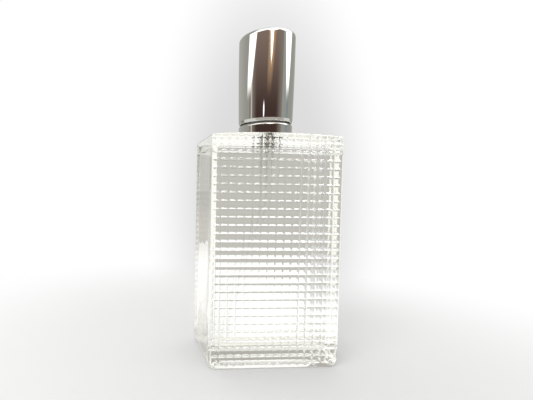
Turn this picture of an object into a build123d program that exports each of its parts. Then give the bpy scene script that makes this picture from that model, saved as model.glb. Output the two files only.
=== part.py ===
from build123d import *
import math
import os

# Aftershave spray bottle: a flat rectangular glass flask with a dimpled front, a crimped
# spray pump and a tall, slightly barrelled chrome cap.
# Millimetres. +Z is up, the dimpled front faces -Y, and the origin is the centre of the
# base, on the table.

# ---------------------------------------------------------------- fits
snug_gap = 0.02          # between pieces that are pressed or clipped together
running_gap = 0.05       # between pieces that slide on each other

# ---------------------------------------------------------------- front tiles
tile_pitch = 3.5
tile_columns = 16
tile_rows = 28
dimple_radius = 4.3
side_margin = 0.7
base_margin = 2.0
top_margin = 0.2

# ---------------------------------------------------------------- glass flask
flask_width = tile_columns * tile_pitch + 2 * side_margin
flask_height = tile_rows * tile_pitch + base_margin + top_margin
flask_depth = 32.2
crown_rise = 1.0         # how far the top arches above its two ends
base_corner_radius = 4.0
shoulder_corner_radius = 1.0
front_edge_radius = 0.6
back_edge_radius = 1.2
face_wall = 3.6
side_wall = 4.2
base_thickness = 6.0
ceiling_height = 92.0
cavity_upright_radius = 6.0
cavity_floor_radius = 4.0
cavity_ceiling_radius = 5.5
recess_inset = 6.0
recess_depth = 0.8
recess_corner_radius = 3.0

# ---------------------------------------------------------------- neck
neck_radius = 6.6
neck_bead_radius = 7.5
neck_bore_radius = 4.7
neck_bead_bottom = 105.4
neck_top = 109.2
neck_edge_radius = 0.4

# ---------------------------------------------------------------- pump
gasket_thickness = 1.0
housing_radius = 3.6
housing_bore = 2.8
housing_flange_radius = 6.9
housing_flange_thickness = 1.2
spring_ledge = 86.4
ball_lip_thickness = 0.4
ball_lip_radius = 0.9
ball_chamber_radius = 1.15
ball_seat_top = 84.6
ball_seat_bottom = 84.0
inlet_radius = 0.65
tube_stop = 83.0
spigot_radius = 1.9
spigot_top = 82.0
spigot_bottom = 78.0
ball_radius = 1.0
tube_radius = 1.05
tube_bore = 0.7
tube_end_clearance = 1.8

ferrule_sheet = 0.4
ferrule_skirt_bottom = 104.5
ferrule_mouth_radius = 3.8

stem_radius = 1.6
stem_bore = 0.7
stem_shoulder_radius = 2.4
stem_shoulder_bottom = 104.5
stem_shoulder_top = 107.4
stem_top = 121.4
stem_port_radius = 0.4
stem_port_height = 100.0
foot_bottom = 97.4
foot_top = 98.4
foot_pin_length = 1.0
seal_thickness = 0.9
turret_flange_radius = 3.75
turret_top = 112.9
piston_top = 101.5
piston_recess_radius = 2.1
piston_recess_top = 100.6
piston_waist_radius = 2.5
piston_lip = 0.7
return_wire = 0.2        # wire radius
return_coil = 2.1        # mean coil radius
return_turns = 8
valve_wire = 0.16
valve_coil = 2.05
valve_turns = 3

# ---------------------------------------------------------------- actuator
actuator_bottom = 117.5
actuator_top = 130.4
actuator_radius = 7.2
actuator_skin = 0.4
actuator_edge_radius = 0.9
post_radius = 3.0
skirt_hollow_radius = 5.8
skirt_hollow_top = 122.0
spray_height = 125.4
insert_radius = 2.0
insert_length = 2.8
insert_proud = 0.15
orifice_radius = 0.2
swirl_radius = 1.0
swirl_depth = 0.6
duct_radius = 0.6

# ---------------------------------------------------------------- collar and cap
cap_top = 147.0
cap_radius = 12.4        # widest, at the top of the barrel
barrel_radius = 1447.0   # radius of the arc that the cap's side follows
collar_bottom = 101.5
collar_shoulder = 105.6
collar_top = 113.4
collar_tube_radius = 9.6
collar_sheet = 0.58
collar_edge_radius = 0.5
cap_bottom = 106.7
cap_sheet = 0.7
cap_rim_radius = 0.3
cap_top_edge_radius = 1.8
liner_radius = 11.0
liner_bottom = 107.2
liner_inner_radius = 9.0
liner_top = 139.5
liner_top_thickness = 1.5
weight_radius = 10.6
weight_thickness = 6.5

half_depth = flask_depth / 2


def barrel(height):
    """Radius of the cap and collar's common outline at a height."""
    below_top = cap_top - height
    return cap_radius - barrel_radius + math.sqrt(barrel_radius**2 - below_top**2)


def turned(outline):
    """Solid of revolution about Z from a closed outline of (radius, height) points."""
    points = [(radius, 0, height) for radius, height in outline]
    return revolve(make_face(Polyline(*points, close=True)), Axis.Z)


def ring(inner, outer, bottom, top):
    """Plain ring about Z."""
    return turned([(inner, bottom), (outer, bottom), (outer, top), (inner, top)])


def rod(radius, bottom, top):
    """Plain rod about Z."""
    return Pos(0, 0, bottom) * Cylinder(
        radius, top - bottom, align=(Align.CENTER, Align.CENTER, Align.MIN))


def coil(wire, mean_radius, bottom, top, turns):
    """Open helical spring whose wire just fits between two heights."""
    height = top - bottom - 2 * wire
    path = Helix(height / turns, height, mean_radius)
    section = Plane(origin=path @ 0, z_dir=path % 0) * Circle(wire)
    return Pos(0, 0, bottom + wire) * sweep(section, path=path, is_frenet=True)


# ---------------------------------------------------------------- glass flask
def flask_block():
    """Outer block with the arched top, rounded base corners and eased edges."""
    half_width = flask_width / 2
    corner = base_corner_radius
    cut = corner * (1 - math.sqrt(0.5))
    arcs = [
        ThreePointArc((half_width - corner, 0), (half_width - cut, cut), (half_width, corner)),
        Line((half_width, corner), (half_width, flask_height)),
        ThreePointArc((half_width, flask_height), (0, flask_height + crown_rise),
                      (-half_width, flask_height)),
        Line((-half_width, flask_height), (-half_width, corner)),
        ThreePointArc((-half_width, corner), (-half_width + cut, cut), (-half_width + corner, 0)),
        Line((-half_width + corner, 0), (half_width - corner, 0)),
    ]
    profile = Plane.XZ * make_face(arcs)
    block = extrude(profile, half_depth, both=True)
    shoulders = block.edges().filter_by(Axis.Y).group_by(Axis.Z)[-1]
    block = fillet(shoulders, shoulder_corner_radius)
    block = fillet(block.faces().sort_by(Axis.Y)[0].edges(), front_edge_radius)
    return fillet(block.faces().sort_by(Axis.Y)[-1].edges(), back_edge_radius)


def flask_cavity():
    """Inside of the flask, without the neck's bore."""
    height = ceiling_height - base_thickness
    space = Box(flask_width - 2 * side_wall, flask_depth - 2 * face_wall, height,
                align=(Align.CENTER, Align.CENTER, Align.MIN))
    space = Pos(0, 0, base_thickness) * space
    space = fillet(space.edges().filter_by(Axis.Z), cavity_upright_radius)
    space = fillet(space.faces().sort_by(Axis.Z)[-1].edges(), cavity_ceiling_radius)
    return fillet(space.faces().sort_by(Axis.Z)[0].edges(), cavity_floor_radius)


def neck():
    """Crimp neck: a plain shank under a bead."""
    shank = rod(neck_radius, ceiling_height, neck_bead_bottom)
    bead = rod(neck_bead_radius, neck_bead_bottom, neck_top)
    bead = fillet(bead.edges().filter_by(GeomType.CIRCLE), neck_edge_radius)
    return shank + bead


def dimple_tools():
    """One concave dimple per tile, square in outline, meeting its neighbours at a ridge."""
    half_tile = tile_pitch / 2
    reach = math.sqrt(dimple_radius**2 - 2 * half_tile**2)
    ball = Pos(0, -half_depth - reach, 0) * Sphere(dimple_radius)
    tile = Pos(0, -half_depth, 0) * Box(tile_pitch, tile_pitch, tile_pitch)
    dimple = ball & tile
    places = []
    for column in range(tile_columns):
        for row in range(tile_rows):
            x = (column - (tile_columns - 1) / 2) * tile_pitch
            z = base_margin + (row + 0.5) * tile_pitch
            places.append(Pos(x, 0, z))
    return [place * dimple for place in places]


def glass_flask():
    recess = Box(flask_width - 2 * recess_inset, flask_depth - 2 * recess_inset,
                 2 * recess_depth)
    recess = fillet(recess.edges().filter_by(Axis.Z), recess_corner_radius)
    glass = flask_block() + neck()
    glass = glass - flask_cavity()
    glass = glass - rod(neck_bore_radius, ceiling_height - 1, neck_top + 1)
    glass = glass - recess
    return glass - dimple_tools()


# ---------------------------------------------------------------- pump, fixed pieces
gasket_top = neck_top + gasket_thickness
flange_top = gasket_top + housing_flange_thickness
ferrule_bottom_face = flange_top + snug_gap
ferrule_top = ferrule_bottom_face + ferrule_sheet
seal_bottom = stem_shoulder_top + running_gap
seal_top = seal_bottom + seal_thickness


def neck_gasket():
    return ring(housing_radius + running_gap, neck_bead_radius - 0.3, neck_top, gasket_top)


def pump_housing():
    """Pump barrel: flange, bore, spring ledge, ball chamber with its seat, tube spigot."""
    lip_bottom = spring_ledge - ball_lip_thickness
    return turned([
        (housing_flange_radius, gasket_top),
        (housing_flange_radius, flange_top),
        (housing_bore, flange_top),
        (housing_bore, spring_ledge),
        (ball_lip_radius, spring_ledge),
        (ball_lip_radius, lip_bottom),
        (ball_chamber_radius, lip_bottom),
        (ball_chamber_radius, ball_seat_top),
        (inlet_radius, ball_seat_bottom),
        (inlet_radius, tube_stop),
        (tube_radius + snug_gap, tube_stop),
        (tube_radius + snug_gap, spigot_bottom),
        (spigot_radius, spigot_bottom),
        (spigot_radius, spigot_top),
        (housing_radius, ball_seat_bottom),
        (housing_radius, gasket_top),
    ])


def crimp_ferrule():
    """Aluminium cup over the flange and bead, turned in under the bead."""
    inner = neck_bead_radius + running_gap
    outer = inner + ferrule_sheet
    lip_inner = neck_radius + running_gap
    lip_top = ferrule_skirt_bottom + ferrule_sheet
    cup = turned([
        (lip_inner, ferrule_skirt_bottom),
        (outer, ferrule_skirt_bottom),
        (outer, ferrule_top),
        (ferrule_mouth_radius, ferrule_top),
        (ferrule_mouth_radius, ferrule_bottom_face),
        (inner, ferrule_bottom_face),
        (inner, lip_top),
        (lip_inner, lip_top),
    ])
    rims = cup.edges().filter_by(GeomType.CIRCLE).group_by(SortBy.RADIUS)[-1]
    return fillet(rims, ferrule_sheet * 0.8)


def stem_seal():
    return ring(stem_radius + running_gap, housing_bore - snug_gap, seal_bottom, seal_top)


def pump_turret():
    """Insert that closes the barrel and guides the stem."""
    hole = stem_radius + running_gap
    return turned([
        (hole, seal_top + snug_gap),
        (housing_bore - snug_gap, seal_top + snug_gap),
        (housing_bore - snug_gap, ferrule_bottom_face),
        (turret_flange_radius, ferrule_bottom_face),
        (turret_flange_radius, turret_top),
        (hole, turret_top),
    ])


def dip_tube():
    """Straight in the spigot, then bowed down towards the flask's lower left."""
    floor = base_thickness + tube_end_clearance
    straight = Line((0, 0, tube_stop), (0, 0, spigot_bottom))
    bow = Spline((0, 0, spigot_bottom), (-4.6, 0.3, 60), (-11.6, 0.9, 38), (-19.0, 1.6, floor),
                 tangents=[(0, 0, -1), (-0.25, 0.02, -1)])
    path = Wire([straight, bow])
    section = Plane(origin=path @ 0, z_dir=path % 0) * (Circle(tube_radius) - Circle(tube_bore))
    return sweep(section, path=path)


def inlet_ball():
    """Ball resting on its conical seat."""
    slope = math.atan2(ball_chamber_radius - inlet_radius, ball_seat_top - ball_seat_bottom)
    touch_radius = ball_radius * math.cos(slope)
    touch_height = ball_seat_bottom + (touch_radius - inlet_radius) / math.tan(slope)
    centre = touch_height + ball_radius * math.sin(slope) + snug_gap
    return Pos(0, 0, centre) * Sphere(ball_radius)


# ---------------------------------------------------------------- pump, moving pieces
def return_spring():
    return coil(return_wire, return_coil, spring_ledge + snug_gap, foot_bottom - snug_gap,
                return_turns)


def stem_foot():
    """Plug that closes the stem and carries the valve seat."""
    seat = rod(stem_shoulder_radius, foot_bottom, foot_top)
    pin = rod(stem_bore - snug_gap, foot_top, foot_top + foot_pin_length)
    return seat + pin


def pump_piston():
    """Sliding seal with two lips and an inner recess over the stem's port."""
    lip_radius = housing_bore - running_gap
    bottom = foot_top + running_gap
    return turned([
        (piston_recess_radius, bottom),
        (lip_radius, bottom),
        (lip_radius, bottom + piston_lip),
        (piston_waist_radius, bottom + 2 * piston_lip),
        (lip_radius, piston_top - piston_lip),
        (lip_radius, piston_top),
        (stem_radius + running_gap, piston_top),
        (stem_radius + running_gap, piston_recess_top),
        (piston_recess_radius, piston_recess_top),
    ])


def valve_spring():
    """Holds the piston down on the foot until the chamber is under pressure."""
    return coil(valve_wire, valve_coil, piston_top + snug_gap, stem_shoulder_bottom - snug_gap,
                valve_turns)


def pump_stem():
    """Hollow stem with a shoulder under the seal and a cross port near its foot."""
    stem = rod(stem_radius, foot_top + snug_gap, stem_top)
    stem += rod(stem_shoulder_radius, stem_shoulder_bottom, stem_shoulder_top)
    stem -= rod(stem_bore, foot_top, stem_top)
    port = Rot(90, 0, 0) * Cylinder(stem_port_radius, 4 * stem_radius)
    return stem - Pos(0, 0, stem_port_height) * port


# ---------------------------------------------------------------- actuator
insert_face = -actuator_radius - insert_proud


def front_bore(radius, start, end):
    """Cylinder along Y at the spray height."""
    length = end - start
    middle = (start + end) / 2
    return Pos(0, middle, spray_height) * Rot(90, 0, 0) * Cylinder(radius, length)


def actuator_button():
    """Moulded core: stem socket, duct and pocket for the spray insert."""
    core_radius = actuator_radius - actuator_skin - snug_gap
    core_top = actuator_top - actuator_skin - snug_gap
    core = rod(core_radius, actuator_bottom, core_top)
    core = fillet(core.edges().group_by(Axis.Z)[-1], actuator_edge_radius - actuator_skin)
    core -= ring(post_radius, skirt_hollow_radius, actuator_bottom, skirt_hollow_top)
    core -= rod(stem_radius + snug_gap, actuator_bottom, stem_top + snug_gap)
    core -= rod(duct_radius, stem_top, spray_height + duct_radius)
    core -= front_bore(duct_radius, insert_face, 0)
    return core - front_bore(insert_radius + snug_gap, insert_face - 1,
                             insert_face + insert_length + snug_gap)


def actuator_shell():
    """Thin metal thimble over the button, with a window for the insert."""
    skin = rod(actuator_radius, actuator_bottom, actuator_top)
    skin = fillet(skin.edges().group_by(Axis.Z)[-1], actuator_edge_radius)
    hollow = rod(actuator_radius - actuator_skin, actuator_bottom, actuator_top - actuator_skin)
    hollow = fillet(hollow.edges().group_by(Axis.Z)[-1], actuator_edge_radius - actuator_skin)
    window = front_bore(insert_radius + 2 * running_gap, insert_face - 1, 0)
    return skin - hollow - window


def spray_insert():
    """Small disc with the orifice and its swirl chamber behind."""
    body = front_bore(insert_radius, insert_face, insert_face + insert_length)
    body -= front_bore(orifice_radius, insert_face, insert_face + insert_length)
    return body - front_bore(swirl_radius, insert_face + insert_length - swirl_depth,
                             insert_face + insert_length)


# ---------------------------------------------------------------- collar
liner_wall_outer = collar_tube_radius - collar_sheet - snug_gap


def collar_ring():
    """Chrome collar: outer band, shoulder and the tube that the cap clips over."""
    middle = (collar_bottom + collar_shoulder) / 2
    outer_arc = ThreePointArc((barrel(collar_bottom), 0, collar_bottom),
                              (barrel(middle), 0, middle),
                              (barrel(collar_shoulder), 0, collar_shoulder))
    tube_inner = collar_tube_radius - collar_sheet
    band_inner = barrel(collar_bottom) - collar_sheet
    shoulder_underside = collar_shoulder - collar_sheet
    rest = Polyline(
        (barrel(collar_shoulder), 0, collar_shoulder),
        (collar_tube_radius, 0, collar_shoulder),
        (collar_tube_radius, 0, collar_top),
        (tube_inner, 0, collar_top),
        (tube_inner, 0, shoulder_underside),
        (band_inner, 0, shoulder_underside),
        (band_inner, 0, collar_bottom),
        (barrel(collar_bottom), 0, collar_bottom),
    )
    collar = revolve(make_face([outer_arc, *rest.edges()]), Axis.Z)
    shoulder_edges = collar.edges().filter_by_position(Axis.Z, collar_shoulder, collar_shoulder)
    return fillet(shoulder_edges.sort_by(SortBy.RADIUS)[-1], collar_edge_radius)


def collar_liner():
    """Plastic ring that grips the ferrule and fills the collar."""
    inner = neck_bead_radius + running_gap + ferrule_sheet + snug_gap
    flange_outer = barrel(collar_bottom) - collar_sheet - snug_gap
    flange_top_face = collar_shoulder - collar_sheet - snug_gap
    lip_bottom = ferrule_top + snug_gap
    lip_top = turret_top - 0.2
    return turned([
        (inner, collar_bottom + 0.1),
        (flange_outer, collar_bottom + 0.1),
        (flange_outer, flange_top_face),
        (liner_wall_outer, flange_top_face),
        (liner_wall_outer, lip_top),
        (actuator_radius, lip_top),
        (actuator_radius, lip_bottom),
        (inner, lip_bottom),
    ])


# ---------------------------------------------------------------- cap
def cap_shell():
    """Chrome shell with a barrelled side, closed flat top and eased edges."""
    inside_top = cap_top - cap_sheet
    middle = (cap_bottom + cap_top) / 2
    inside_middle = (cap_bottom + inside_top) / 2
    outside = ThreePointArc((barrel(cap_bottom), 0, cap_bottom), (barrel(middle), 0, middle),
                            (barrel(cap_top), 0, cap_top))
    inside = ThreePointArc((barrel(cap_bottom) - cap_sheet, 0, cap_bottom),
                           (barrel(inside_middle) - cap_sheet, 0, inside_middle),
                           (barrel(inside_top) - cap_sheet, 0, inside_top))
    flats = [
        Line(outside @ 1, (0, 0, cap_top)),
        Line((0, 0, cap_top), (0, 0, inside_top)),
        Line((0, 0, inside_top), inside @ 1),
        Line(inside @ 0, outside @ 0),
    ]
    shell = revolve(make_face([outside, inside, *flats]), Axis.Z)
    top_rim = shell.edges().filter_by(GeomType.CIRCLE).group_by(Axis.Z)[-1]
    shell = fillet(top_rim, cap_top_edge_radius)
    bottom_rim = shell.edges().filter_by(GeomType.CIRCLE).group_by(Axis.Z)[0]
    return fillet(bottom_rim, cap_rim_radius)


def cap_liner():
    """Plastic liner: it clips over the collar's tube and stops on its top edge."""
    return turned([
        (collar_tube_radius + running_gap, liner_bottom),
        (liner_radius, liner_bottom),
        (liner_radius, liner_top),
        (0, liner_top),
        (0, liner_top - liner_top_thickness),
        (liner_inner_radius, liner_top - liner_top_thickness),
        (liner_inner_radius, collar_top + running_gap),
        (collar_tube_radius + running_gap, collar_top + running_gap),
    ])


def cap_weight():
    """Steel disc between the liner and the top of the shell."""
    bottom = liner_top + running_gap
    return rod(weight_radius, bottom, bottom + weight_thickness)


nodes = {
    "glass_flask": glass_flask,
    "neck_gasket": neck_gasket,
    "pump_housing": pump_housing,
    "crimp_ferrule": crimp_ferrule,
    "stem_seal": stem_seal,
    "pump_turret": pump_turret,
    "dip_tube": dip_tube,
    "inlet_ball": inlet_ball,
    "return_spring": return_spring,
    "stem_foot": stem_foot,
    "pump_piston": pump_piston,
    "valve_spring": valve_spring,
    "pump_stem": pump_stem,
    "actuator_button": actuator_button,
    "actuator_shell": actuator_shell,
    "spray_insert": spray_insert,
    "collar_ring": collar_ring,
    "collar_liner": collar_liner,
    "cap_shell": cap_shell,
    "cap_liner": cap_liner,
    "cap_weight": cap_weight,
}

os.makedirs("parts", exist_ok=True)
for name, make in nodes.items():
    export_step(make(), f"parts/{name}.step")
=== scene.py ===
import math

import bmesh
import bpy
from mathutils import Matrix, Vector
from mathutils.geometry import delaunay_2d_cdt


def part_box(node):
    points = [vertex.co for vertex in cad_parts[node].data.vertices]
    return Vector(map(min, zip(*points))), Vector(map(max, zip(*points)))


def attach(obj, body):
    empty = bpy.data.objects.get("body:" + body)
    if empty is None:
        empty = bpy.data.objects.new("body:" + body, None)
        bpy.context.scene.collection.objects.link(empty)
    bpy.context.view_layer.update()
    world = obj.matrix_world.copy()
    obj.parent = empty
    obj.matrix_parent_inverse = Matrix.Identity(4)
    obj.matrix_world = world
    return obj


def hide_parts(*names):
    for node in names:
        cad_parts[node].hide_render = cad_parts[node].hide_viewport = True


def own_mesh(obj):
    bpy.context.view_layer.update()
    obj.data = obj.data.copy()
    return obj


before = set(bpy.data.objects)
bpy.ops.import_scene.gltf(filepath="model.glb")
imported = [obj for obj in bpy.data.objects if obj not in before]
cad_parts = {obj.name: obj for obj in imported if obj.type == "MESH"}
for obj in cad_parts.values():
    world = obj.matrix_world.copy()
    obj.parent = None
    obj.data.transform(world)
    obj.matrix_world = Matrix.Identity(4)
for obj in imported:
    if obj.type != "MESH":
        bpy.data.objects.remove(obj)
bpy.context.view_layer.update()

MM = 0.001

# ---------------------------------------------------------------- sizes, in millimetres
flask_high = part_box("glass_flask")[1]
HALF_WIDTH = flask_high.x / MM
HALF_DEPTH = flask_high.y / MM
NECK_TOP = flask_high.z / MM
SHOULDER = 100.2          # height of the flask at its two sides
CROWN = 1.0               # how far its top arches above that
CROWN_RADIUS = (HALF_WIDTH**2 + CROWN**2) / (2 * CROWN)
BASE_CORNER = 4.0
SHOULDER_CORNER = 1.0
FRONT_EDGE = 0.6
BACK_EDGE = 0.9
BACK_TOP_EDGE = 3.5       # the back's upper edge is rounder, except near its two ends
BACK_TOP_TAPER = 5.0

TILE = 3.5
COLUMNS = 16
ROWS = 28
TILE_CUTS = (0.0, 0.05, 0.12, 0.22, 0.35, 0.5, 0.65, 0.78, 0.88, 0.95)
BOWL_DEPTH = 0.42         # a tile's hollow: a flat-floored bowl with steep sides
BOWL_FLATNESS = 4
DISH_DEPTH = 0.36         # plus a shallow dish, so the ridges dip between corners
FIRST_ROW = 2.0           # height of the lowest tile's lower edge
TILE_FADE = 0.35          # how fast a hollow runs out past the last tile
TILE_REACH = 1.2          # all the tiles' relief lies within this depth of the front
OUTLINE_STEP = 0.35

SIDE_WALL = 3.3
FACE_WALL = 3.6
FLOOR = 6.0
CEILING = 96.0
CAVITY_UPRIGHT = 3.0
CAVITY_TIGHTEST = 0.4
CAVITY_FLOOR = 4.0
CAVITY_CEILING = 3.0      # how far the ceiling's rounding reaches in
CAVITY_SLUMP = 2.5        # and how far down
BORE = 4.7
BORE_FLARE = 2.0
FILL_LEVEL = 98.6
FILL_GAP = 0.01
PUMP_BARREL = 3.6         # outer radius of the pump's barrel

NECK = 6.6
NECK_ROOT = 6.0           # how far the neck reaches down into the flask
NECK_BEAD = 7.5
BEAD_BOTTOM = 105.4

RECESS_INSET = 6.0
RECESS_DEPTH = 0.8
RECESS_CORNER = 3.0
RECESS_EASE = 0.5

CAP_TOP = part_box("cap_shell")[1].z / MM
CAP_BOTTOM = 107.1
CAP_RADIUS = 12.4
BARREL = 1447.0
CAP_SHEET = 0.7
CAP_EDGE = 1.7
CAP_RIM = 0.25
RIM_HEIGHT = 1.3          # the cap's lowest part tapers in a little
RIM_TAPER = 0.25
RIM_EASE = 0.3
COLLAR_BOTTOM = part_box("collar_ring")[0].z / MM
COLLAR_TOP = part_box("collar_ring")[1].z / MM
COLLAR_SHOULDER = 106.4
COLLAR_EDGE = 0.9
COLLAR_TUBE = 9.6
COLLAR_SHEET = 0.58

LATHE_STEPS = 160
CHROME_STEPS = 256
BARREL_STEPS = 10
COIL_SIDES = 10
COIL_STEPS = 40
MERGE_DISTANCE = 1e-7     # in metres
UPWARD = 0.9              # least upward share of a normal that counts as facing up
SUPPORT = 0.08            # flat margin beside a rounded edge, so shading stays true
SHARP_ANGLE = math.radians(33)

IOR_GLASS = 1.5
IOR_LIQUID = 1.362

# ---------------------------------------------------------------- stage and camera
FLOOR_REACH = 30000.0     # millimetres from the bottle to the floor's sides
FLOOR_DROP = 0.02         # the floor lies just below the flask's base
TABLE_EDGE = 0.231        # how far the pale table reaches behind the bottle, in metres
TABLE_SLANT = 0.2
NOTCH_FRONT = 0.113       # nearer edge of the table's back right part
NOTCH_SIDE = 0.0295
NOTCH_SLANT = 0.578
LEAN_LEVEL = 23.0         # rise, in degrees, at which the windows' sides are given
AIM = Vector((0.0, 0.0, 0.06))
CAMERA_LENS = 23.64
CAMERA_SHIFT = (0.2135, 0.0024)
CAMERA_PLACE = (-63.18, -160.34, 76.23)
CAMERA_TURN = (88.11, -0.80, -3.98)


# ---------------------------------------------------------------- mesh helpers
def new_piece(name, points, faces, materials):
    """Mesh object from points in millimetres, smooth shaded with sharp creases kept."""
    mesh = bpy.data.meshes.new(name)
    mesh.from_pydata([Vector(p) * MM for p in points], [], faces)
    mesh.validate()
    piece = bpy.data.objects.new(name, mesh)
    bpy.context.scene.collection.objects.link(piece)
    for material in materials:
        mesh.materials.append(material)
    mesh.shade_smooth()
    mesh.set_sharp_from_angle(angle=SHARP_ANGLE)
    return piece


def bridge(loops, count):
    """Quads between successive loops of count points, with a face over each end."""
    faces = []
    for ring in range(loops - 1):
        for i in range(count):
            a = ring * count + i
            b = ring * count + (i + 1) % count
            faces.append((a, b, b + count, a + count))
    faces.append(tuple(reversed(range(count))))
    faces.append(tuple(range((loops - 1) * count, loops * count)))
    return faces


def quarter(steps):
    """Sine and cosine at even steps from 0 to 90 degrees."""
    angles = [math.pi / 2 * step / steps for step in range(steps + 1)]
    return [(math.sin(angle), math.cos(angle)) for angle in angles]


def eased(outline, steps=5):
    """Closed (radius, height) outline whose corners, given as (r, z, ease), are rounded."""
    result = []
    count = len(outline)
    for i, corner in enumerate(outline):
        here = Vector(corner[:2])
        ease = corner[2] if len(corner) > 2 else 0
        if ease == 0:
            result.append(tuple(here))
            continue
        before = (Vector(outline[i - 1][:2]) - here).normalized()
        after = (Vector(outline[(i + 1) % count][:2]) - here).normalized()
        half = before.angle(after) / 2
        reach = ease / math.tan(half)
        centre = here + (before + after).normalized() * (ease / math.sin(half))
        start = (here + before * reach - centre).normalized()
        end = (here + after * reach - centre).normalized()
        result.append(tuple(here + before * (reach + SUPPORT)))
        for step in range(steps + 1):
            result.append(tuple(centre + ease * start.slerp(end, step / steps).normalized()))
        result.append(tuple(here + after * (reach + SUPPORT)))
    return result


def lathe(name, outline, material, steps=LATHE_STEPS):
    """Solid of revolution from a closed outline of (radius, height) points."""
    points = []
    for step in range(steps):
        turn = 2 * math.pi * step / steps
        for radius, height in outline:
            points.append((radius * math.cos(turn), radius * math.sin(turn), height))
    count = len(outline)
    faces = []
    for step in range(steps):
        other = (step + 1) % steps
        for i in range(count):
            j = (i + 1) % count
            if outline[i][0] < 1e-6 and outline[j][0] < 1e-6:
                continue
            faces.append((step * count + i, other * count + i,
                          other * count + j, step * count + j))
    piece = new_piece(name, points, faces, [material])
    merge_close(piece.data)
    return piece


def merge_close(mesh):
    """Joins points that coincide, such as those on a lathe's axis, and faces out."""
    shape = bmesh.new()
    shape.from_mesh(mesh)
    bmesh.ops.remove_doubles(shape, verts=shape.verts, dist=MERGE_DISTANCE)
    bmesh.ops.dissolve_degenerate(shape, dist=MERGE_DISTANCE, edges=shape.edges)
    bmesh.ops.recalc_face_normals(shape, faces=shape.faces)
    shape.to_mesh(mesh)
    shape.free()
    mesh.set_sharp_from_angle(angle=SHARP_ANGLE)


def combine(target, other, operation):
    """Applies a boolean to target and removes the other object."""
    modifier = target.modifiers.new("combine", "BOOLEAN")
    modifier.operation = operation
    modifier.object = other
    modifier.solver = "EXACT"
    modifier.material_mode = "TRANSFER"
    graph = bpy.context.evaluated_depsgraph_get()
    result = bpy.data.meshes.new_from_object(target.evaluated_get(graph))
    target.modifiers.clear()
    target.data = result
    bpy.data.objects.remove(other)


def finish_piece(piece, body, slot, *nodes):
    """Rides the piece on its body and hides the CAD nodes it stands for."""
    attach(piece, body)
    if nodes:
        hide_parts(*nodes)
    return piece


# ---------------------------------------------------------------- node helpers
class Nodes:
    """Short calls for building a node tree."""

    def __init__(self, tree):
        self.tree = tree
        tree.nodes.clear()

    def add(self, kind, values=None, **settings):
        node = self.tree.nodes.new(kind)
        for key, value in settings.items():
            setattr(node, key, value)
        for key, value in (values or {}).items():
            if isinstance(value, bpy.types.NodeSocket):
                self.tree.links.new(value, node.inputs[key])
            else:
                node.inputs[key].default_value = value
        return node

    def math(self, operation, a, b=0.0):
        return self.add("ShaderNodeMath", {0: a, 1: b}, operation=operation).outputs[0]

    def band(self, value, start, end, low=0.0, high=1.0):
        """Smooth ramp of a value from start to end."""
        node = self.add("ShaderNodeMapRange",
                        {0: value, 1: start, 2: end, 3: low, 4: high},
                        interpolation_type="SMOOTHSTEP")
        return node.outputs[0]

    def mix(self, factor, a, b):
        node = self.add("ShaderNodeMix", data_type="RGBA")
        for key, value in ((0, factor), (6, a), (7, b)):
            if isinstance(value, bpy.types.NodeSocket):
                self.tree.links.new(value, node.inputs[key])
            else:
                node.inputs[key].default_value = value
        return node.outputs[2]

    def noise(self, coordinates, scale, detail=3.0, stretch=(1, 1, 1)):
        mapping = self.add("ShaderNodeMapping", {"Vector": coordinates, "Scale": stretch})
        settings = {"Vector": mapping.outputs[0], "Scale": scale, "Detail": detail}
        return self.add("ShaderNodeTexNoise", settings).outputs[0]

    def object_coordinates(self):
        return self.add("ShaderNodeTexCoord").outputs["Object"]

    def bump(self, height, strength, distance):
        return self.add("ShaderNodeBump", {"Height": height, "Strength": strength,
                                           "Distance": distance}).outputs[0]

    def finish(self, shader, output="ShaderNodeOutputMaterial"):
        self.add(output, {"Surface": shader})


def rgb(red, green, blue):
    return (red, green, blue, 1.0)


def material_tree(name):
    material = bpy.data.materials.new(name)
    material.use_nodes = True
    return material, Nodes(material.node_tree)


# ---------------------------------------------------------------- materials
def glass_material():
    """Flint glass: faint mould waviness and a trace of haze."""
    material, n = material_tree("flask_glass")
    place = n.object_coordinates()
    waves = n.noise(place, 110.0, 2.0)
    smudge = n.noise(place, 340.0, 4.0)
    roughness = n.band(smudge, 0.45, 0.8, 0.0, 0.012)
    shader = n.add("ShaderNodeBsdfPrincipled", {
        "Base Color": rgb(0.985, 0.99, 0.985),
        "Transmission Weight": 1.0,
        "IOR": IOR_GLASS,
        "Roughness": roughness,
        "Normal": n.bump(waves, 0.25, 0.00012),
    })
    n.finish(shader.outputs[0])
    return material


def wet_wall_material():
    """Inner wall where glass meets liquid, so it bends light only a little."""
    material, n = material_tree("flask_wet_wall")
    waves = n.noise(n.object_coordinates(), 90.0, 2.0)
    shader = n.add("ShaderNodeBsdfPrincipled", {
        "Base Color": rgb(0.99, 0.99, 0.99),
        "Transmission Weight": 1.0,
        "IOR": IOR_GLASS / IOR_LIQUID,
        "Roughness": 0.0,
        "Normal": n.bump(waves, 0.6, 0.0004),
    })
    n.finish(shader.outputs[0])
    return material


def liquid_surface_material():
    material, n = material_tree("liquid_surface")
    ripple = n.noise(n.object_coordinates(), 260.0, 1.0)
    shader = n.add("ShaderNodeBsdfPrincipled", {
        "Base Color": rgb(0.99, 1.0, 1.0),
        "Transmission Weight": 1.0,
        "IOR": IOR_LIQUID,
        "Roughness": 0.0,
        "Normal": n.bump(ripple, 0.05, 0.0002),
    })
    n.finish(shader.outputs[0])
    return material


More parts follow.
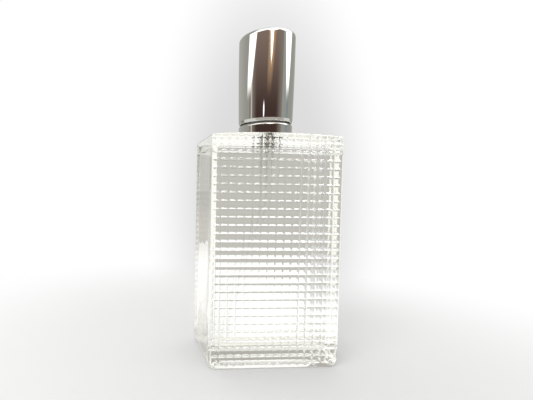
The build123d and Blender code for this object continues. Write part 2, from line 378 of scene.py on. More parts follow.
def liquid_side_material():
    """Where the liquid lies against glass the glass's own wall does the bending."""
    material, n = material_tree("liquid_side")
    tint = n.noise(n.object_coordinates(), 40.0, 1.0)
    colour = n.mix(tint, rgb(0.997, 0.999, 1.0), rgb(1.0, 1.0, 1.0))
    shader = n.add("ShaderNodeBsdfTransparent", {"Color": colour})
    n.finish(shader.outputs[0])
    return material


def chrome_material(name, colour, base_roughness):
    """Bright plating: hairline wipes and a few duller patches."""
    material, n = material_tree(name)
    place = n.object_coordinates()
    wipes = n.noise(place, 900.0, 2.0, stretch=(1, 1, 0.06))
    patches = n.noise(place, 130.0, 3.0)
    dull = n.math("MULTIPLY", wipes, patches)
    roughness = n.band(dull, 0.15, 0.45, base_roughness, base_roughness + 0.05)
    shader = n.add("ShaderNodeBsdfPrincipled", {
        "Base Color": colour,
        "Metallic": 1.0,
        "Roughness": roughness,
        "Normal": n.bump(wipes, 0.04, 0.00002),
    })
    n.finish(shader.outputs[0])
    return material


def plastic_material(name, dark, light, roughness, clear=0.0, ior=1.5):
    """Moulded plastic: faint flow marks and a fine surface grain."""
    material, n = material_tree(name)
    place = n.object_coordinates()
    flow = n.noise(place, 160.0, 3.0, stretch=(1, 1, 0.3))
    grain = n.noise(place, 2600.0, 2.0)
    shader = n.add("ShaderNodeBsdfPrincipled", {
        "Base Color": n.mix(flow, dark, light),
        "Roughness": n.band(grain, 0.2, 0.8, roughness - 0.05, roughness + 0.08),
        "Transmission Weight": clear,
        "IOR": ior,
        "Normal": n.bump(grain, 0.15, 0.00003),
    })
    n.finish(shader.outputs[0])
    return material


def metal_material(name, colour, roughness, stretch):
    """Worked metal: fine lines along the way it was rolled, drawn or turned."""
    material, n = material_tree(name)
    place = n.object_coordinates()
    lines = n.noise(place, 1500.0, 3.0, stretch=stretch)
    shader = n.add("ShaderNodeBsdfPrincipled", {
        "Base Color": n.mix(lines, rgb(*(0.86 * c for c in colour[:3])), colour),
        "Metallic": 1.0,
        "Roughness": n.band(lines, 0.2, 0.8, roughness, roughness + 0.15),
        "Normal": n.bump(lines, 0.2, 0.00002),
    })
    n.finish(shader.outputs[0])
    return material


GLASS = glass_material()
WET_WALL = wet_wall_material()
LIQUID_SURFACE = liquid_surface_material()
LIQUID_SIDE = liquid_side_material()
CHROME = chrome_material("chrome_plate", rgb(0.84, 0.84, 0.83), 0.02)
ALUMINIUM = metal_material("ferrule_aluminium", rgb(0.8, 0.8, 0.8), 0.22, (1, 1, 0.05))
STEEL = metal_material("weight_steel", rgb(0.5, 0.5, 0.5), 0.3, (0.1, 0.1, 1))
WIRE = metal_material("spring_steel", rgb(0.85, 0.85, 0.86), 0.3, (1, 1, 1))
PUMP_PLASTIC = plastic_material("pump_plastic", rgb(0.98, 0.98, 0.97), rgb(1.0, 1.0, 0.99),
                                0.2, clear=0.98, ior=1.03)
TUBE_PLASTIC = plastic_material("tube_plastic", rgb(0.96, 0.96, 0.96), rgb(0.99, 0.99, 0.99),
                                0.12, clear=0.97, ior=1.05)
VALVE_PLASTIC = plastic_material("valve_plastic", rgb(0.96, 0.91, 0.84), rgb(0.99, 0.95, 0.89),
                                 0.3, clear=0.9, ior=1.06)
WHITE_PLASTIC = plastic_material("white_plastic", rgb(0.9, 0.89, 0.86), rgb(0.95, 0.94, 0.91),
                                 0.4)
BUTTON_PLASTIC = plastic_material("button_plastic", rgb(0.6, 0.61, 0.62), rgb(0.7, 0.7, 0.71),
                                  0.3)
INSERT_PLASTIC = plastic_material("insert_plastic", rgb(0.03, 0.03, 0.035),
                                  rgb(0.05, 0.05, 0.055), 0.25)
LINER_PLASTIC = plastic_material("liner_plastic", rgb(0.2, 0.18, 0.155),
                                 rgb(0.26, 0.235, 0.2), 0.45)
RUBBER = plastic_material("seal_rubber", rgb(0.02, 0.02, 0.02), rgb(0.035, 0.035, 0.035), 0.6)


# ---------------------------------------------------------------- glass flask
def flask_outline():
    """Points (x, z) and outward normals round the flask's front view."""
    step = OUTLINE_STEP
    points = []

    def corner(x, z, radius, first):
        count = max(4, round(radius * math.pi / 2 / step))
        for i in range(count + 1):
            angle = first + math.pi / 2 * i / count
            normal = Vector((math.cos(angle), math.sin(angle)))
            points.append((Vector((x, z)) + radius * normal, normal))

    def straight(start, end, normal):
        count = max(2, round((end - start).length / step))
        for i in range(1, count):
            points.append((start.lerp(end, i / count), normal))

    right = Vector((1, 0))
    base_x = HALF_WIDTH - BASE_CORNER
    top_x = HALF_WIDTH - SHOULDER_CORNER
    top_z = SHOULDER - SHOULDER_CORNER
    straight(Vector((-base_x, 0)), Vector((base_x, 0)), Vector((0, -1)))
    corner(base_x, BASE_CORNER, BASE_CORNER, -math.pi / 2)
    straight(Vector((HALF_WIDTH, BASE_CORNER)), Vector((HALF_WIDTH, top_z)), right)
    corner(top_x, top_z, SHOULDER_CORNER, 0)
    centre = Vector((0, SHOULDER + CROWN - CROWN_RADIUS))
    edge = math.asin(top_x / CROWN_RADIUS)
    count = round(2 * top_x / step)
    for i in range(1, count):
        angle = edge - 2 * edge * i / count
        normal = Vector((math.sin(angle), math.cos(angle)))
        rise = CROWN_RADIUS * normal
        points.append((centre + rise, normal))
    corner(-top_x, top_z, SHOULDER_CORNER, math.pi / 2)
    straight(Vector((-HALF_WIDTH, top_z)), Vector((-HALF_WIDTH, BASE_CORNER)), -right)
    corner(-base_x, BASE_CORNER, BASE_CORNER, math.pi)
    return points


def hollow(x, z):
    """Depth of the tiled front below its outer plane."""
    span_x = COLUMNS * TILE / 2
    top = FIRST_ROW + ROWS * TILE
    inside_x = max(-span_x, min(span_x, x))
    inside_z = max(FIRST_ROW, min(top, z))
    past = math.hypot(x - inside_x, z - inside_z) / TILE_FADE
    if past >= 1:
        return 0.0
    across = (inside_x + span_x) / TILE
    up = (inside_z - FIRST_ROW) / TILE
    u = 2 * (across - min(COLUMNS - 1, math.floor(across + 1e-6))) - 1
    v = 2 * (up - min(ROWS - 1, math.floor(up + 1e-6))) - 1
    bowl = (1 - abs(u)**BOWL_FLATNESS) * (1 - abs(v)**BOWL_FLATNESS)
    dish = 1 - (u * u + v * v) / 2
    return (BOWL_DEPTH * bowl + DISH_DEPTH * dish) * (1 - past * past * (3 - 2 * past))


def front_sheet(rim):
    """Triangles of the tiled front inside a rim of (x, z) points."""
    cuts = len(TILE_CUTS)
    clearance = 0.05
    left = -COLUMNS * TILE / 2
    points = [Vector(p) for p in rim]
    edges = [(i, (i + 1) % len(rim)) for i in range(len(rim))]
    index = {}

    def lines(start, tiles):
        inner = [start + (k + share) * TILE for k in range(tiles) for share in TILE_CUTS]
        return inner + [start + tiles * TILE]

    columns = lines(left, COLUMNS)
    rows = lines(FIRST_ROW, ROWS)
    rows = [rows[0] - TILE_FADE, *rows, rows[-1] + TILE_FADE]

    def inside(x, z):
        reach = clearance + FRONT_EDGE
        arch = math.sqrt((CROWN_RADIUS - reach)**2 - x * x) - CROWN_RADIUS + SHOULDER + CROWN
        if abs(x) > HALF_WIDTH - reach or z < reach or z > arch:
            return False
        base_x = abs(x) - (HALF_WIDTH - BASE_CORNER)
        base_z = BASE_CORNER - z
        return not (base_x > 0 and base_z > 0
                    and math.hypot(base_x, base_z) > BASE_CORNER - reach)

    for i, x in enumerate(columns):
        for j, z in enumerate(rows):
            if inside(x, z):
                index[i, j] = len(points)
                points.append(Vector((x, z)))
    for (i, j), here in index.items():
        on_row = (j - 1) % cuts == 0
        if on_row and (i + 1, j) in index:
            edges.append((here, index[i + 1, j]))
        if i % cuts == 0 and (i, j + 1) in index:
            edges.append((here, index[i, j + 1]))
    made = delaunay_2d_cdt(points, edges, [list(range(len(rim)))], 1, 1e-6, False)
    return made[0], made[2]


def back_radius(place, normal):
    """Radius of the back's edge at a point of the outline."""
    if normal.y < UPWARD:
        return BACK_EDGE
    share = (HALF_WIDTH - SHOULDER_CORNER - abs(place.x)) / BACK_TOP_TAPER
    share = max(0.0, min(1.0, share))
    return BACK_EDGE + (BACK_TOP_EDGE - BACK_EDGE) * share * share * (3 - 2 * share)


def flask_block():
    """Outer solid: tiled front, eased edges, flat sides and back."""
    outline = flask_outline()
    count = len(outline)
    rim = [p - FRONT_EDGE * normal for p, normal in outline]
    flat_points, triangles = front_sheet(rim)
    points = [(p.x, -HALF_DEPTH + hollow(p.x, p.y), p.y) for p in flat_points]
    faces = [tuple(t) for t in triangles]
    loops = [list(range(count))]

    def add_loop(inset, y, follow):
        """Loop behind the front edge, which follows a share of the tiles' relief."""
        start = len(points)
        for (p, normal), edge in zip(outline, rim):
            place = p - inset * normal
            points.append((place.x, y + follow * hollow(edge.x, edge.y), place.y))
        loops.append(list(range(start, start + count)))

    def add_back_loop(inset, drop, margin_in=0.0, margin_back=0.0):
        """Loop of the back edge: shares of its radius inwards and forwards."""
        start = len(points)
        for p, normal in outline:
            radius = back_radius(p, normal)
            place = p - (radius * inset + margin_in) * normal
            points.append((place.x, HALF_DEPTH - radius * drop - margin_back, place.y))
        loops.append(list(range(start, start + count)))

    for sine, cosine in quarter(5)[1:]:
        add_loop(FRONT_EDGE * (1 - sine), -HALF_DEPTH + FRONT_EDGE * (1 - cosine), 1.0)
    add_loop(0.0, -HALF_DEPTH + FRONT_EDGE + SUPPORT, 1.0)
    add_loop(0.0, -HALF_DEPTH + 3 * FRONT_EDGE, 0.25)
    add_loop(0.0, -HALF_DEPTH + 5 * FRONT_EDGE, 0.0)
    add_back_loop(0.0, 1.0, 0.0, SUPPORT)
    for sine, cosine in quarter(9):
        add_back_loop(1 - cosine, 1 - sine)
    add_back_loop(1.0, 0.0, SUPPORT)
    for first, second in zip(loops, loops[1:]):
        for i in range(count):
            j = (i + 1) % count
            faces.append((first[i], second[i], second[j], first[j]))
    faces.append(tuple(loops[-1]))
    block = new_piece("flask", points, faces, [GLASS])
    merge_close(block.data)
    return block


def rounded_rectangle(half_x, half_y, radius, inset):
    """Points round a rounded rectangle, all moved in by inset."""
    corner_steps = 10
    side_step = 1.6
    points = []
    rounding = max(radius - inset, CAVITY_TIGHTEST)
    reach_x = half_x - inset - rounding
    reach_y = half_y - inset - rounding
    corners = ((1, -1, -90), (1, 1, 0), (-1, 1, 90), (-1, -1, 180))
    for k, (sx, sy, first) in enumerate(corners):
        centre = Vector((sx * reach_x, sy * reach_y))
        for i in range(corner_steps + 1):
            angle = math.radians(first + 90 * i / corner_steps)
            normal = Vector((math.cos(angle), math.sin(angle)))
            points.append(centre + rounding * normal)
        following = corners[(k + 1) % 4]
        end = Vector((following[0] * reach_x, following[1] * reach_y))
        count = round((2 * half_x if k % 2 else 2 * half_y) / side_step)
        margin = SUPPORT / (end - centre).length
        for place in (margin, *(i / count for i in range(1, count)), 1 - margin):
            points.append(centre.lerp(end, place) + rounding * normal)
    return points


def cavity_loops(gap, top):
    """Loops of points from the cavity's floor up into the bore, shrunk by a gap."""
    half_x = HALF_WIDTH - SIDE_WALL - gap
    half_y = HALF_DEPTH - FACE_WALL - gap
    turned = quarter(7)
    loops = []

    def add(inset, z):
        loops.append([(p.x, p.y, z) for p in
                      rounded_rectangle(half_x, half_y, CAVITY_UPRIGHT, inset)])

    low = FLOOR + gap
    high = CEILING - gap
    add(CAVITY_FLOOR + SUPPORT, low)
    for sine, cosine in turned:
        add(CAVITY_FLOOR * (1 - sine), low + CAVITY_FLOOR * (1 - cosine))
    add(0.0, low + CAVITY_FLOOR + SUPPORT)
    add(0.0, high - CAVITY_SLUMP - SUPPORT)
    for sine, cosine in turned:
        add(CAVITY_CEILING * (1 - cosine), high - CAVITY_SLUMP * (1 - sine))
    add(CAVITY_CEILING + SUPPORT, high)
    directions = [Vector(p[:2]).normalized() for p in loops[-1]]

    def circle(radius, z):
        loops.append([(d.x * radius, d.y * radius, z) for d in directions])

    circle(BORE - gap + BORE_FLARE + SUPPORT, high)
    for sine, cosine in turned:
        circle(BORE - gap + BORE_FLARE * (1 - sine), high + BORE_FLARE * (1 - cosine))
    circle(BORE - gap, high + BORE_FLARE + SUPPORT)
    circle(BORE - gap, top)
    return loops


def solid_from_loops(name, loops, materials):
    """Closed solid whose skin runs through successive loops of points."""
    points = [p for loop in loops for p in loop]
    piece = new_piece(name, points, bridge(len(loops), len(loops[0])), materials)
    merge_close(piece.data)
    return piece


def paint(piece, test):
    """Gives each polygon the material index that the test returns for its centre."""
    for polygon in piece.data.polygons:
        polygon.material_index = test(polygon)


def round_tile_ridges(mesh):
    """The ridges between tiles are fire-polished, so their shading stays smooth."""
    behind = (-HALF_DEPTH + TILE_REACH) * MM
    sharp = mesh.attributes["sharp_edge"].data
    for edge in mesh.edges:
        if all(mesh.vertices[i].co.y < behind for i in edge.vertices):
            sharp[edge.index].value = False


def base_recess():
    """Shallow hollow that leaves the flask standing on a rim."""
    section = [(0.0, -1.0)]
    for sine, cosine in quarter(5):
        section.append((RECESS_EASE * (1 - cosine), RECESS_DEPTH - RECESS_EASE * (1 - sine)))
    section.append((RECESS_EASE + SUPPORT, RECESS_DEPTH))
    loops = []
    for inset, height in section:
        outline = rounded_rectangle(HALF_WIDTH - RECESS_INSET, HALF_DEPTH - RECESS_INSET,
                                    RECESS_CORNER, inset)
        loops.append([(p.x, p.y, height) for p in outline])
    return solid_from_loops("recess", loops, [GLASS])


def make_flask():
    """Block with a beaded neck, a hollow whose wall is wet up to the fill level, and a recess."""
    flask = flask_block()
    bead = [(0, SHOULDER - NECK_ROOT), (NECK, SHOULDER - NECK_ROOT), (NECK, BEAD_BOTTOM, 0.3),
            (NECK_BEAD, BEAD_BOTTOM, 0.4), (NECK_BEAD, NECK_TOP, 0.6), (0, NECK_TOP)]
    combine(flask, lathe("neck", eased(bead), GLASS), "UNION")
    loops = cavity_loops(0.0, FILL_LEVEL)
    top_loop = [(x, y, NECK_TOP + 1) for x, y, _ in loops[-1]]
    cavity = solid_from_loops("cavity", loops + [top_loop], [WET_WALL, GLASS])
    paint(cavity, lambda polygon: int(polygon.center.z > FILL_LEVEL * MM))
    combine(flask, cavity, "DIFFERENCE")
    combine(flask, base_recess(), "DIFFERENCE")
    flask.data.shade_smooth()
    flask.data.set_sharp_from_angle(angle=SHARP_ANGLE)
    round_tile_ridges(flask.data)
    return finish_piece(flask, "bottle", "flask_glass", "glass_flask")


def make_liquid():
    """Fills the cavity up into the bore, but not the barrel of the pump."""
    loops = cavity_loops(FILL_GAP, FILL_LEVEL - FILL_GAP)
    liquid = solid_from_loops("clear_fill", loops, [LIQUID_SIDE, LIQUID_SURFACE])
    valve_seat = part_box("inlet_ball")[0].z / MM
    radius = PUMP_BARREL + FILL_GAP
    above = FILL_LEVEL + 1
    pump = [(0, valve_seat), (radius, valve_seat), (radius, above), (0, above)]
    combine(liquid, lathe("pump_space", pump, LIQUID_SIDE), "DIFFERENCE")
    level = (FILL_LEVEL - 2 * FILL_GAP) * MM
    paint(liquid, lambda polygon: int(polygon.center.z > level and polygon.normal.z > UPWARD))
    return finish_piece(liquid, "bottle", "flask_glass")


# ---------------------------------------------------------------- cap and collar
def barrel(height):
    """Radius of the cap's slightly barrelled side at a height."""
    return CAP_RADIUS - BARREL + math.sqrt(BARREL**2 - (CAP_TOP - height)**2)


def barrel_side(low, high, inset):
    """Points up the barrelled side, from low to high."""
    heights = [low + (high - low) * i / BARREL_STEPS for i in range(BARREL_STEPS + 1)]
    return [(barrel(height) - inset, height) for height in heights]


def make_cap():
    """Cup of thin sheet, open below, with a tapered rim and a rounded top edge."""
    inner_top = CAP_TOP - CAP_SHEET
    outside = barrel_side(CAP_BOTTOM + RIM_HEIGHT, CAP_TOP, 0.0)
    inside = barrel_side(CAP_BOTTOM, inner_top, CAP_SHEET)
    outline = [
        (barrel(CAP_BOTTOM) - RIM_TAPER, CAP_BOTTOM, CAP_RIM),
        (*outside[0], RIM_EASE),
        *outside[1:-1],
        (*outside[-1], CAP_EDGE),
        (0, CAP_TOP),
        (0, inner_top),
        (*inside[-1], CAP_EDGE - CAP_SHEET),
        *reversed(inside[:-1]),
    ]
    cap = lathe("cap_chrome", eased(outline, 8), CHROME, CHROME_STEPS)
    return finish_piece(cap, "cap", "chrome_plate", "cap_shell")


def make_collar():
    """Ring under the cap, stepped in to the tube that the cap slides over."""
    tube_inner = COLLAR_TUBE - COLLAR_SHEET
    band_inner = barrel(COLLAR_BOTTOM) - COLLAR_SHEET
    underside = COLLAR_SHOULDER - COLLAR_SHEET
    outline = [
        (barrel(COLLAR_BOTTOM), COLLAR_BOTTOM, 0.15),
        (barrel(COLLAR_SHOULDER), COLLAR_SHOULDER, COLLAR_EDGE),
        (COLLAR_TUBE, COLLAR_SHOULDER, 0.3),
        (COLLAR_TUBE, COLLAR_TOP, 0.25),
        (tube_inner, COLLAR_TOP, 0.2),
        (tube_inner, underside),
        (band_inner, underside),
        (band_inner, COLLAR_BOTTOM, 0.1),
    ]
    collar = lathe("collar_chrome", eased(outline, 6), CHROME, CHROME_STEPS)
    return finish_piece(collar, "bottle", "chrome_plate", "collar_ring")


# ---------------------------------------------------------------- springs
def sweep(name, path, radius, material):
    """Round rod along a path of points, with its ends closed."""
    points = []
    up = Vector((0, 1, 0))
    for i, here in enumerate(path):
        before = path[max(0, i - 1)]
        after = path[min(len(path) - 1, i + 1)]
        along = (after - before).normalized()
        across = along.cross(up).normalized()
        up = across.cross(along).normalized()
        for side in range(COIL_SIDES):
            angle = 2 * math.pi * side / COIL_SIDES
            points.append(here + radius * (math.cos(angle) * across + math.sin(angle) * up))
    rod = new_piece(name, points, bridge(len(path), COIL_SIDES), [material])
    merge_close(rod.data)
    return rod


def coil(name, node, wire, turns, end_turns):
    """Compression spring filling its node's height, with its end turns laid flat."""
    low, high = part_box(node)
    mean = high.x / MM - wire
    bottom = low.z / MM + wire
    top = high.z / MM - wire
    closed = end_turns * 2 * wire
    path = []
    for i in range(round(COIL_STEPS * turns) + 1):
        turn = i / COIL_STEPS
        if turn < end_turns:
            height = bottom + closed * turn / end_turns
        elif turn > turns - end_turns:
            height = top - closed * (turns - turn) / end_turns
        else:
            share = (turn - end_turns) / (turns - 2 * end_turns)
            height = bottom + closed + (top - bottom - 2 * closed) * share
        angle = 2 * math.pi * turn
        path.append(Vector((mean * math.cos(angle), mean * math.sin(angle), height)))
    return sweep(name, path, wire, WIRE)


def shorten(spring):
    """Gives the spring a mesh of its own."""
    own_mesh(spring)


def make_return_spring():
    """Stands in the pump's barrel and lifts the stem."""
    spring = coil("return_coil", "return_spring", wire=0.2, turns=9.0, end_turns=1.0)
    finish_piece(spring, "bottle", "spring_steel", "return_spring")
    shorten(spring)


def make_valve_spring():
    """Sits on the stem and holds the piston down on its plug."""
    spring = coil("valve_coil", "valve_spring", wire=0.16, turns=4.0, end_turns=0.8)
    finish_piece(spring, "stem", "spring_steel", "valve_spring")
    shorten(spring)


# ---------------------------------------------------------------- carried-over nodes
NODE_MATERIALS = {
    "neck_gasket": RUBBER,
    "stem_seal": RUBBER,
    "pump_housing": PUMP_PLASTIC,
    "pump_turret": WHITE_PLASTIC,
    "crimp_ferrule": ALUMINIUM,
    "dip_tube": TUBE_PLASTIC,
    "inlet_ball": WIRE,
    "stem_foot": VALVE_PLASTIC,
    "pump_piston": VALVE_PLASTIC,
    "pump_stem": WHITE_PLASTIC,
    "actuator_button": BUTTON_PLASTIC,
    "actuator_shell": CHROME,
    "spray_insert": INSERT_PLASTIC,
    "collar_liner": LINER_PLASTIC,
    "cap_liner": LINER_PLASTIC,
    "cap_weight": STEEL,
}


def dress_nodes():
    """Gives the CAD's own meshes their materials."""
    for name, material in NODE_MATERIALS.items():
        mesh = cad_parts[name].data
        mesh.materials.clear()
        mesh.materials.append(material)


# ---------------------------------------------------------------- stage
def backdrop_with_painted_shade(n):
    """Plain backdrop with painted shade: a little greyer behind the bottle than towards its
    edges, like a soft shadow round it.
    """
    window = n.add("ShaderNodeTexCoord").outputs["Window"]
    centred = n.add("ShaderNodeMapping", {"Vector": window, "Location": (-3.1, -1.02, 0.0),
                                          "Scale": (6.2, 2.04, 0.0)}).outputs[0]
    far = n.add("ShaderNodeVectorMath", {0: centred}, operation="LENGTH").outputs["Value"]
    # painted shade: grey behind the bottle, fading to white towards the edges of the view
    return n.mix(n.band(far, 0.55, 1.45), rgb(0.72, 0.72, 0.72), rgb(1.0, 1.0, 1.0))


class Room:
    """Directions round the bottle: turn from the front and rise, both in degrees."""

    def __init__(self, n):
        self.n = n
        towards = n.add("ShaderNodeTexCoord").outputs["Generated"]
        parts = n.add("ShaderNodeSeparateXYZ", {0: towards}).outputs
        degrees = 180 / math.pi
        forward = n.math("MULTIPLY", parts[1], -1.0)
        self.turn = n.math("MULTIPLY", n.math("ARCTAN2", parts[0], forward), degrees)
        self.rise = n.math("MULTIPLY", n.math("ARCSINE", parts[2]), degrees)
        self.sideways = n.math("ABSOLUTE", self.turn)

    def patch(self, under, shade, turns, rises, soft, lean=(0.0, 0.0)):
        """Lays a shade between two turns and two rises, its sides leaning with the rise."""
        n = self.n
        left, right = turns
        low, high = rises
        over = n.math("SUBTRACT", self.rise, LEAN_LEVEL)
        from_left = n.math("SUBTRACT", self.turn, n.math("MULTIPLY", over, lean[0]))
        from_right = n.math("SUBTRACT", self.turn, n.math("MULTIPLY", over, lean[1]))
        sides = n.math("MULTIPLY", n.band(from_left, left - soft, left + soft),
                       n.band(from_right, right + soft, right - soft))
        ends = n.math("MULTIPLY", n.band(self.rise, low - soft, low + soft),
                      n.band(self.rise, high + soft, high - soft))
        return n.mix(n.math("MULTIPLY", sides, ends), under, shade)


def mirrored_room(n, room):
    """What the chrome shows: a dim room with bright windows, pale at the sides and above."""
    ceiling = rgb(1.25, 1.25, 1.2)
    off_centre = n.math("ABSOLUTE", n.math("SUBTRACT", room.turn, -17.0))
    shade = n.mix(n.band(room.rise, 8.0, 27.0), rgb(0.06, 0.035, 0.029), rgb(0.26, 0.19, 0.155))
    shade = n.mix(n.band(off_centre, 38.0, 66.0), shade, rgb(0.235, 0.205, 0.175))
    wall = n.mix(n.band(room.sideways, 100.0, 160.0),
                 rgb(0.34, 0.34, 0.31), rgb(0.43, 0.43, 0.39))
    shade = n.mix(n.band(off_centre, 64.0, 69.0), shade, wall)
    # the left window, with a dark and a pale upright below it
    shade = room.patch(shade, rgb(1.7, 1.7, 1.6), (-95, -62), (14, 90), 2.2, (0.95, 2.3))
    shade = room.patch(shade, rgb(0.22, 0.20, 0.17), (-92, -86), (-5, 13), 1.5)
    shade = room.patch(shade, rgb(0.70, 0.62, 0.54), (-84, -79), (-5, 15), 2.0)
    # the right window, with a bluish upright below it
    shade = room.patch(shade, rgb(1.7, 1.7, 1.7), (59, 96), (13.5, 90), 2.6, (-1.1, 1.3))
    shade = room.patch(shade, rgb(0.24, 0.30, 0.31), (73, 85), (-5, 13), 2.0)
    # a tall lamp in front with a warm glow round it, and a small bright spot to its left
    shade = room.patch(shade, rgb(0.46, 0.29, 0.17), (-13, 15), (15.5, 90), 4.0, (0.3, 1.6))
    shade = room.patch(shade, rgb(2.8, 2.5, 2.1), (-6.5, 5.5), (18.3, 90), 1.2, (-0.6, 1.3))
    shade = room.patch(shade, rgb(2.4, 2.3, 2.5), (-30, -26), (8.7, 10.7), 1.0)
    shade = room.patch(shade, ceiling, (-84, 80), (43, 95), 4.0)
    return n.mix(n.band(room.rise, 66.0, 72.0), shade, ceiling)


def room_through_glass(n, room, ray):
    """What the flask shows: grey in front and behind, pale at the sides and above."""
    pale = rgb(1.0, 0.98, 0.92)
    beside = n.mix(n.band(room.rise, 8.0, 16.0), rgb(0.63, 0.61, 0.57), pale)
    behind = n.mix(n.band(room.rise, 13.0, 22.0),
                   rgb(0.55, 0.535, 0.495), rgb(0.44, 0.425, 0.39))
    shade = n.mix(n.band(room.sideways, 60.0, 85.0), rgb(0.50, 0.48, 0.45), beside)
    shade = n.mix(n.band(room.sideways, 115.0, 140.0), shade, behind)
    shade = room.patch(shade, pale, (62, 118), (8, 40), 3.0)
    shade = n.mix(n.band(room.rise, 32.0, 52.0), shade, rgb(1.05, 1.03, 0.94))
    # low rays that met only two glass faces and no liquid see white
    glass_only = n.math("LESS_THAN", ray["Transmission Depth"], 2.5)
    low_glass = n.math("MULTIPLY", glass_only, n.band(room.rise, 14.0, 10.0))
    return n.mix(low_glass, shade, rgb(1.05, 1.04, 0.95))


def make_world():
    """Studio that answers mirrored, transmitted, diffuse and camera rays each in its own way."""
    world = bpy.data.worlds.new("studio")
    bpy.context.scene.world = world
    world.use_nodes = True
    n = Nodes(world.node_tree)
    room = Room(n)
    ray = n.add("ShaderNodeLightPath").outputs
    seen = n.mix(ray["Is Transmission Ray"], mirrored_room(n, room),
                 room_through_glass(n, room, ray))
    seen = n.mix(ray["Is Camera Ray"], seen, backdrop_with_painted_shade(n))
    lit = n.mix(ray["Is Diffuse Ray"], seen, rgb(1.0, 1.0, 1.0))
    n.finish(n.add("ShaderNodeBackground", {"Color": lit}).outputs[0], "ShaderNodeOutputWorld")
    world.cycles.sampling_method = "NONE"


def table_for_camera(n, distance):
    """Matte table that fades into the backdrop away from the bottle; its grey near the bottle is
    painted shade round the base.
    """
    # painted shade: the matte is greyer than the white table, like a soft shadow round the base
    matte = n.add("ShaderNodeBsdfDiffuse", {"Color": rgb(0.74, 0.74, 0.735)}).outputs[0]
    white = n.add("ShaderNodeEmission", {"Color": backdrop_with_painted_shade(n)}).outputs[0]
    far = n.band(distance, 0.07, 0.22)
    return n.add("ShaderNodeMixShader", {0: far, 1: matte, 2: white}).outputs[0]


def table_through_glass(n, x, y):
    """Table as seen through the glass, glowing with painted light: brighter behind the bottle's
    right corner, painted shade in front of it and to its left.
    """
    ahead = n.math("ADD", y, n.math("MULTIPLY", x, 0.45))
    # painted light and shade: the table glows brightest behind the right corner, dimmer in front
    # and to the left
    painted_light_corner = n.math("MULTIPLY", n.band(x, -0.04, 0.0), n.band(ahead, -0.02, 0.01))
    return n.mix(painted_light_corner, rgb(0.74, 0.74, 0.71), rgb(1.15, 1.15, 1.11))


def mirrored_table(n, x, y, distance):
    """Painted reflection of the table for the chrome and the glass: pale to both sides and close
    behind.
    """
    turn = n.math("ABSOLUTE", n.math("ARCTAN2", x, n.math("MULTIPLY", y, -1.0)))
    aside = n.math("ABSOLUTE", n.math("SUBTRACT", turn, math.radians(92)))
    # painted reflection: paler near the bottle, pale streaks to both sides, bright close behind
    shade = n.mix(n.band(distance, 0.25, 1.8), rgb(0.50, 0.47, 0.42), rgb(0.26, 0.245, 0.22))
    shade = n.mix(n.band(aside, 0.65, 0.4), shade, rgb(0.72, 0.71, 0.67))
    close_behind = n.math("MULTIPLY", n.band(distance, 0.36, 0.2), n.band(y, 0.01, 0.04))
    return n.mix(close_behind, shade, rgb(1.1, 1.08, 1.03))


def past_table(n, x, y):
    """1 where the table has ended: past its slanted back edge or in its right notch."""
    slanted = n.math("ADD", y, n.math("MULTIPLY", x, TABLE_SLANT))
    sideways = n.math("SUBTRACT", x, n.math("MULTIPLY", y, NOTCH_SLANT))
    in_notch = n.math("MULTIPLY", n.math("GREATER_THAN", sideways, NOTCH_SIDE),
                      n.math("GREATER_THAN", y, NOTCH_FRONT))
    return n.math("MAXIMUM", n.math("GREATER_THAN", slanted, TABLE_EDGE), in_notch)


def make_floor():
    """Table that shows itself differently to the camera, to mirrors and through glass."""
    material, n = material_tree("pale_floor")
    place = n.add("ShaderNodeNewGeometry").outputs["Position"]
    x, y, _ = n.add("ShaderNodeSeparateXYZ", {0: place}).outputs
    distance = n.add("ShaderNodeVectorMath", {0: place}, operation="LENGTH").outputs["Value"]
    ray = n.add("ShaderNodeLightPath").outputs
    # painted light: for every ray but the camera's the table glows, as a painted reflection for
    # mirrors, painted light and shade through glass, and plain white for diffuse rays
    shade = n.mix(ray["Is Transmission Ray"], mirrored_table(n, x, y, distance),
                  table_through_glass(n, x, y))
    shade = n.mix(ray["Is Diffuse Ray"], shade, rgb(1.0, 1.0, 1.0))
    bright = n.add("ShaderNodeEmission", {"Color": shade}).outputs[0]
    clear = n.add("ShaderNodeBsdfTransparent").outputs[0]
    past_edge = n.math("MULTIPLY", past_table(n, x, y), ray["Is Transmission Ray"])
    others = n.add("ShaderNodeMixShader", {0: past_edge, 1: bright, 2: clear}).outputs[0]
    shader = n.add("ShaderNodeMixShader", {
        0: ray["Is Camera Ray"],
        1: others,
        2: table_for_camera(n, distance),
    }).outputs[0]
    n.finish(shader)
    corners = [(-FLOOR_REACH, -FLOOR_REACH, 0), (FLOOR_REACH, -FLOOR_REACH, 0),
               (FLOOR_REACH, FLOOR_REACH, 0), (-FLOOR_REACH, FLOOR_REACH, 0)]
    floor = new_piece("floor", corners, [(0, 1, 2, 3)], [material])
    floor.location.z = -FLOOR_DROP * MM


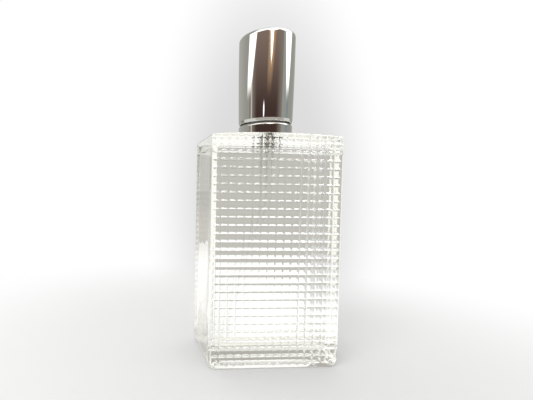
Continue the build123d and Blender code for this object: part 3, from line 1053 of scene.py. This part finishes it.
def make_lights(flask):
    """A key light for everything, and a soft box that only glints off the tiles."""
    def soft_light(name, place, width, height, power):
        lamp = bpy.data.lights.new(name, "AREA")
        lamp.shape = "RECTANGLE"
        lamp.size = width
        lamp.size_y = height
        lamp.energy = power
        light = bpy.data.objects.new(name, lamp)
        light.location = place
        light.rotation_euler = (AIM - Vector(place)).to_track_quat("-Z", "Y").to_euler()
        light.visible_transmission = False
        bpy.context.scene.collection.objects.link(light)
        return light

    key = soft_light("key", (-0.5, -0.5, 0.8), 0.5, 0.5, 3.0)
    key.visible_glossy = False
    glint = soft_light("glint", (0.30, -0.30, 0.50), 0.50, 0.26, 3.6)
    lit = bpy.data.collections.new("tiles_only")
    lit.objects.link(flask)
    glint.light_linking.receiver_collection = lit


def make_camera():
    """Close to the bottle, a little to its left and at half its height."""
    camera = bpy.data.cameras.new("camera")
    camera.sensor_width = 36.0
    camera.lens = CAMERA_LENS
    camera.clip_start = 0.01
    camera.clip_end = 20.0
    viewer = bpy.data.objects.new("camera", camera)
    viewer.location = Vector(CAMERA_PLACE) * MM
    viewer.rotation_euler = [math.radians(angle) for angle in CAMERA_TURN]
    home = bpy.data.objects.new("camera_home", None)
    home.location = viewer.location
    for item in (viewer, home):
        bpy.context.scene.collection.objects.link(item)
    bpy.context.scene.camera = viewer
    for path, shift in zip(("shift_x", "shift_y"), CAMERA_SHIFT):
        shift_only_at_home(camera, path, shift, viewer, home)


def shift_only_at_home(camera, path, shift, viewer, home):
    """The lens is shifted in the main view and centred once the camera is moved."""
    driver = camera.driver_add(path).driver
    distance = driver.variables.new()
    distance.name = "away"
    distance.type = "LOC_DIFF"
    distance.targets[0].id = viewer
    distance.targets[1].id = home
    driver.expression = f"{shift} if away < 0.001 else 0.0"


def set_view():
    """Plain colours, and enough bounces for light to cross the glass and the liquid."""
    scene = bpy.context.scene
    scene.view_settings.view_transform = "Standard"
    scene.view_settings.look = "None"
    scene.cycles.max_bounces = 32
    scene.cycles.transmission_bounces = 32
    scene.cycles.glossy_bounces = 12
    scene.cycles.transparent_max_bounces = 24
    scene.cycles.sample_clamp_indirect = 6.0
    scene.cycles.use_denoising = True


flask = make_flask()
make_liquid()
make_cap()
make_collar()
make_return_spring()
make_valve_spring()
dress_nodes()
make_world()
make_floor()
make_lights(flask)
make_camera()
set_view()
